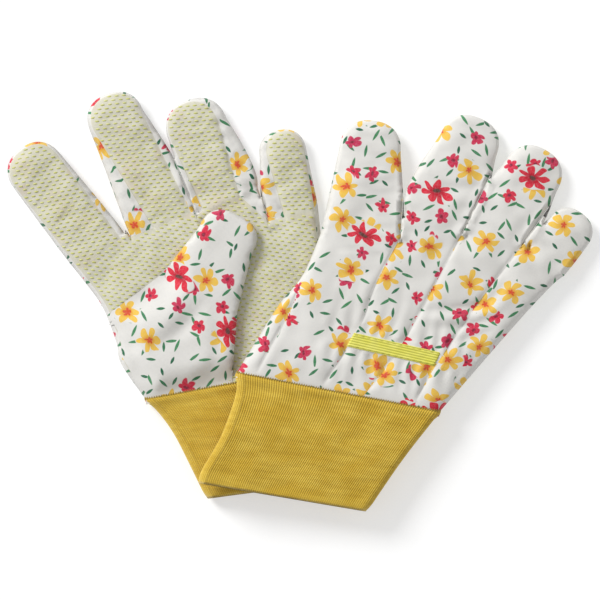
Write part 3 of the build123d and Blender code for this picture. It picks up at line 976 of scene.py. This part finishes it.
def build_thumb(glove):
    """The thumb stall and the wing of cloth that carries it, laid on the palm."""
    stall = glove.thumb
    outline = stall.outline()
    free_edge = np.vstack([glove.wing[-2:], outline[::-1]])

    def clip(points):
        inner = np.minimum(glove.depth(points) - LAP, glove.above_wrist(points) + TUCK)
        return np.where(stall.beyond(points) > 0, 1.0, inner)

    def keep(points):
        return np.maximum(stall.depth(points),
                          np.minimum(depth_in(points, glove.wing), clip(points)))

    def rise(points):
        return smoothstep(np.minimum(distance_to(points, glove.wing[:-1]), clip(points)) / RISE)

    curves = [outline, np.array(stall.corners()), np.vstack([glove.wing, glove.wing[:1]]),
              glove.wrist - TUCK * glove.up_hand]
    flat, faces = triangulate(curves, keep)
    share = rise(flat)
    upper, lower = glove.heights(flat)
    palm = upper if glove.palm_up else lower
    flat_palm = glove.middle(flat) + glove.up * HAND_DEPTH / 2
    lift = (flat_palm - palm) * share + glove.up * (LAP + share * THUMB_DEPTH / 2)
    lift *= np.maximum(smoothstep((glove.above_wrist(flat) + STEP) / THUMB_CALM), 0.2)
    folds = glove.up * glove.fold_relief(flat, glove.wing_folds) * smoothstep(share * 3)
    middle = palm + lift + folds
    half = share * THUMB_DEPTH / 2 * puff(distance_to(flat, free_edge), THUMB_PUFF)
    half += ripples(flat, THUMB_BUMPS, 31) * smoothstep(half / THUMB_FULL)
    bag = Bag(flat, faces, middle + half, middle - half, joined=share > DOUBLED)
    labels = np.where(stall.beyond(bag.centres) > 0, "thumb", "wing")
    labels[(bag.is_upper != glove.palm_up) & (rise(bag.centres) <= DOUBLED)] = ""
    uv = turned(bag.flat, 38, (0.4, 0.2 * glove.up))
    cut_out(glove, bag, labels, "wing", uv, "printed_cotton", None, "thumb_wing")
    cut_out(glove, bag, labels, "thumb", uv,
            "printed_cotton", "thumb", "thumb_front", "thumb_back")


def sleeve_row(glove, left, right, radius, columns):
    """Points round the flat sleeve between two edge points, with their outward directions."""
    across = unit(right - left)
    width = np.linalg.norm(right - left)
    flat_run, arc = width - 2 * radius, math.pi * radius
    corners = np.cumsum([0, flat_run, arc, flat_run, arc])
    at = np.arange(columns) / columns * corners[-1]
    turn = np.interp(at, corners, (0, 0, math.pi, math.pi, math.tau))
    centre = np.interp(at, corners, (radius, width - radius, width - radius, radius, radius))
    flat = left + (centre + radius * np.sin(turn))[:, None] * across
    bumps = ripples(flat, CUFF_BUMPS, 11) + ripples(flat * (0.3, 1), CUFF_STREAKS, 12)
    z = (radius + bumps) * np.cos(turn)
    outward = np.column_stack([np.sin(turn)[:, None] * across, np.cos(turn)])
    return np.column_stack([flat, glove.plane(flat) - HAND_DEPTH / 2 + z]), outward


def cuff_edges(glove):
    """The two side edges of the cuff from the wrist seam to the hem, with matching points."""
    sides = [smooth([top, *middle, end])
             for top, middle, end in zip(glove.wrist, glove.cuff_sides, glove.hem)]
    rows = int(np.linalg.norm(glove.hem[0] - glove.wrist[0]) / CUFF_STEP)
    return [resample(side, np.linalg.norm(np.diff(side, axis=0), axis=1).sum() / rows)[:rows + 1]
            for side in sides]


def build_cuff(glove):
    """A ribbed sleeve with a roll at its top, a rounded hem and an inner side."""
    width = np.linalg.norm(glove.wrist[1] - glove.wrist[0])
    ribs = np.arange(RIB_POINTS * int(2 * width / RIB_PITCH)) / RIB_POINTS
    wave = np.cos(ribs * math.tau)
    place, half_width, roll = CUFF_ROLL
    edges = cuff_edges(glove)
    rows, columns = len(edges[0]), len(ribs)
    outer, inner, uv = [], [], []
    for i, (left, right) in enumerate(zip(*edges)):
        points, out = sleeve_row(glove, left, right, CUFF_DEPTH / 2 - RIB_HEIGHT, columns)
        down = i * CUFF_STEP
        lift = RIB_HEIGHT * wave + roll * math.exp(-((down - place) / half_width) ** 2)
        closing = max(0, i - rows + HEM_ROWS + 1) / HEM_ROWS
        closed = closing ** 2 * KNIT / 2
        outer.append(points + (lift * (1 - closing) - closed)[:, None] * out)
        inner.append(points - (KNIT - closed) * out)
        uv.append(np.column_stack([ribs * RIB_PITCH, np.full(columns, -down)]))
    outside = grid_faces(rows, columns)
    count = rows * columns
    inside = [[count + i for i in face[::-1]] for face in outside]
    hem = ring_faces(count - columns, 2 * count - columns, columns)
    cuff = make_object(f"{glove.name}_ribbed_cuff", np.vstack(outer + inner),
                       outside + inside + hem, KNITTED, np.vstack(uv * 2))
    attach(cuff, glove, None, "rib_knit", "knit_cuff")


def tube(name, path, radius, material, sides=5):
    """A closed thread along a looped path."""
    runs = np.roll(path, -1, axis=0) - np.roll(path, 1, axis=0)
    co = []
    for point, run in zip(path, runs):
        run = unit(run)
        side = unit(np.cross(run, (0.0, 0.0, 1.0)) + 1e-9)
        other = np.cross(run, side)
        co += [point + radius * (math.cos(a) * side + math.sin(a) * other)
               for a in np.arange(sides) * math.tau / sides]
    faces = grid_faces(len(path), sides) + ring_faces((len(path) - 1) * sides, 0, sides)
    return make_object(name, co, faces, material)


def build_overlock(glove):
    """Zigzag thread over the seam between hand and cuff."""
    pitch, swing, radius = OVERLOCK
    left, right = glove.wrist
    count = 2 * int(2 * np.linalg.norm(right - left) / pitch)
    points, out = sleeve_row(glove, left, right, CUFF_DEPTH / 2, count)
    sway = np.where(np.arange(count) % 2, swing, -swing)[:, None]
    path = points + OVERLOCK_LIFT * out + np.append(glove.up_hand, 0) * sway
    thread = tube(f"{glove.name}_overlock_thread", path, radius, OVERLOCK_THREAD)
    attach(thread, glove, None, "sewing_thread", "cuff_overlock")


def build_band(glove):
    """The ribbed elastic across the back of the hand and its two rows of stitches."""
    length, width, height = BAND_SIZE
    out = -glove.up

    def place(x, y, lift):
        spots = (glove.band_centre + np.outer(x + BAND_SKEW * y, glove.band_along)
                 + np.outer(y, left_of(glove.band_along)))
        base = glove.middle(spots) + out * HAND_DEPTH / 2
        return np.column_stack([spots, base + out * lift])

    xs = np.linspace(-length / 2, length / 2, BAND_COLUMNS)
    ys = np.linspace(-width / 2, width / 2, BAND_RIBS * BAND_RIB_POINTS + 1)
    x, y = (grid.ravel() for grid in np.meshgrid(xs, ys))
    edge = np.minimum(length / 2 - np.abs(x), width / 2 - np.abs(y))
    ribs = BAND_RIB_HEIGHT * np.cos(math.tau * BAND_RIBS * y / width)
    uv = np.column_stack([x, y])
    lift = (height + ribs + ripples(uv, BAND_BUMPS, 3)) * puff(edge, BAND_ROUND) - BAND_SINK
    faces = grid_faces(len(ys), len(xs), closed=False)
    if glove.palm_up:
        faces = [face[::-1] for face in faces]
    band = make_object(f"{glove.name}_ribbed_elastic", place(x, y, lift), faces, ELASTIC, uv)
    attach(band, glove, None, "elastic_webbing", "elastic_band")
    x = ((np.arange(STITCHES_PER_ROW) + 0.5) / STITCHES_PER_ROW - 0.5) * length
    spots = []
    for side in (-1, 1):
        y = np.full(len(x), side * (width / 2 - STITCH_INSET))
        spots += [(spot, (0, 0, out), np.append(glove.band_along, 0))
                  for spot in place(x, y, height - BAND_SINK)]
    stitches = domes(f"{glove.name}_elastic_thread", spots, STITCH, LIME_THREAD)
    attach(stitches, glove, None, "sewing_thread", "elastic_stitching")


# --- the two gloves ---
# Millimetres here, as in the gloves' drawing.
LEFT = Glove(
    "left", palm_up=True,
    thumb_side=[(-112.8, -1.6), (-107.2, -14.0), (-103.3, -25.2), (-101.0, -36.0)],
    little_side=[(18.0, 0.0), (12.0, 28.0)],
    wrist=[(-87.6, -55.4), (27.0, -34.7)],
    hem=[(-53.2, -111.4), (39.0, -99.0)],
    cuff_sides=([(-79.2, -64.0), (-70.8, -76.0), (-62.4, -92.4)],
                [(30.0, -55.0), (35.0, -78.0)]),
    wing=[(-92.0, 4.0), (-107.0, -7.0), (-114.0, -40.0), (-94.0, -64.0), (-39.0, -47.0)],
    partings=(((-103.9, 51.2), (-97.7, 37.2), (-50.0, -48.5)),
              ((-80.5, 101.6), (-58.7, 47.5), (-24.0, -43.5)),
              ((-25.1, 73.6), (-18.7, 44.0), (2.0, -39.0))),
    side_seam=[(-112.8, -1.6), (-98.0, -12.0), (-88.0, -30.0), (-78.0, -56.0)],
    band=((-36.0, -18.0), -19.0),
    fronts=(((2.0, 1.1), (3.4, 1.5)), ((13.5, 2.0), (2.4, 1.1)),
            ((2.4, 1.1), (11.0, 5.0)), ((9.0, 4.0), (2.0, 1.1))),
    droops=(0, 0, 0, 0),
    bellies=((0.3, 0.5), (0.8, 2.8), (2.8, 2.6), (2.2, 0.4)),
    bows=(0, -3.0, -1.0, 0.8),
    folds=[(0.9, 5.0, (-110, 22), (-94, 8), (-74, 2)),
           (-0.8, 3.5, (-30, 48), (-16, 38), (2, 26))],
    wing_folds=[(1.3, 5.0, (-62, 4), (-76, -12), (-88, -20)),
                (-1.2, 4.0, (-52, 2), (-66, -16), (-84, -28)),
                (-0.9, 4.0, (-48, -4), (-46, -24), (-52, -42)),
                (0.9, 6.0, (-70, -30), (-62, -42), (-56, -52)),
                (-0.8, 4.0, (-96, -22), (-92, -38), (-84, -50))],
)

RIGHT = Glove(
    "right", palm_up=False,
    thumb_side=[(0.8, 14.0), (-12.0, -1.7), (-24.4, -21.3)],
    little_side=[(119.5, -14.0), (140.0, 8.0)],
    wrist=[(-36.0, -40.3), (77.5, -62.2)],
    hem=[(-58.0, -102.0), (36.5, -118.2)],
    cuff_sides=([(-36.7, -53.2), (-44.5, -75.6), (-55.0, -94.1)],
                [(70.6, -71.0), (61.6, -82.4), (51.6, -96.0)]),
    wing=[(2.0, 8.0), (-10.0, -4.0), (-27.0, -34.0), (20.0, -40.0)],
    partings=(((57.4, 67.0), (55.2, 35.0), (41.0, 8.0), (32.6, -14.0), (12.0, -47.8)),
              ((103.7, 65.8), (89.9, 37.8), (57.0, -23.0), (34.0, -54.5)),
              ((136.3, 49.0), (124.0, 31.6), (100.0, 0.0), (78.0, -32.0), (65.0, -53.5))),
    side_seam=[(0.8, 14.0), (-3.6, 1.1), (-9.2, -11.2), (-14.8, -21.3), (-26.0, -42.0)],
    band=((51.6, -27.6), 12.8),
    fronts=(((3.0, 1.1), (3.0, 1.1)),) * 4,
    droops=(6.0, 4.5, 3.5, 3.5),
    bellies=((0, 1.6), (4.6, 3.8), (3.6, 3.6), (3.4, 0)),
    bows=(0, 0.8, 0, -1.0),
    folds=[(-1.3, 2.4, (66, -6), (86, -5), (104, -1), (114, 10)),
           (1.2, 3.0, (64, -10), (86, -10), (107, -6), (118, 4)),
           (-1.2, 2.4, (76, -16), (94, -14), (112, -8)),
           (-1.0, 2.2, (84, -24), (98, -20), (108, -16)),
           (-0.9, 3.0, (88, 20), (98, 8), (104, -1)),
           (0.8, 6.0, (20, 20), (40, 0), (46, -14)),
           (-0.9, 5.0, (56, 30), (72, 24), (90, 34)),
           (-0.8, 6.0, (2, 22), (18, 14), (40, 16))],
    wing_folds=[],
)


# --- stage ---
def build_floor():
    """It glows a little, as a light table does, so that shadows on it stay pale."""
    n = Nodes("pale_floor")
    grain = n.solid_noise(40.0)
    n.finish(n.mix(grain, rgb(198, 198, 198), rgb(204, 204, 204)), 0.9, grain, 0.0001)
    n.put(n.shader.inputs["Emission Color"], (1.0, 1.0, 1.0, 1.0))
    n.put(n.shader.inputs["Emission Strength"], FLOOR_GLOW)
    mesh = bpy.data.meshes.new("floor")
    corners = [(x * FLOOR_SIZE, y * FLOOR_SIZE, 0) for x, y in ((-1, -1), (1, -1), (1, 1), (-1, 1))]
    mesh.from_pydata(corners, [], [(0, 1, 2, 3)])
    mesh.materials.append(n.material)
    new_object("floor", mesh)


def light_from(azimuth, elevation, strength, spread):
    """A soft far light; azimuth is clockwise from +Y, and all angles are in degrees."""
    light = bpy.data.lights.new("soft_light", "SUN")
    light.energy = strength
    light.angle = math.radians(spread)
    a, e = math.radians(azimuth), math.radians(elevation)
    towards = Vector((math.sin(a) * math.cos(e), math.cos(a) * math.cos(e), math.sin(e)))
    new_object("soft_light", light).rotation_euler = towards.to_track_quat("Z", "Y").to_euler()


def build_stage():
    build_floor()
    world = bpy.data.worlds.new("studio")
    world.use_nodes = True
    background = world.node_tree.nodes["Background"]
    background.inputs[0].default_value = (1.0, 1.0, 1.0, 1.0)
    background.inputs[1].default_value = SKY
    bpy.context.scene.world = world
    light_from(**SUN)
    camera = bpy.data.cameras.new("camera")
    camera.sensor_width = CAMERA_SENSOR
    camera.lens = CAMERA_SENSOR * CAMERA_DISTANCE / PICTURE_WIDTH
    eye = new_object("camera", camera)
    eye.location = (*CAMERA_PLACE, CAMERA_DISTANCE + HAND_DEPTH)
    bpy.context.scene.camera = eye
    bpy.context.scene.view_settings.view_transform = "Standard"


for each_glove in (LEFT, RIGHT):
    for build in (build_hand, build_thumb, build_cuff, build_overlock, build_band):
        build(each_glove)
build_stage()
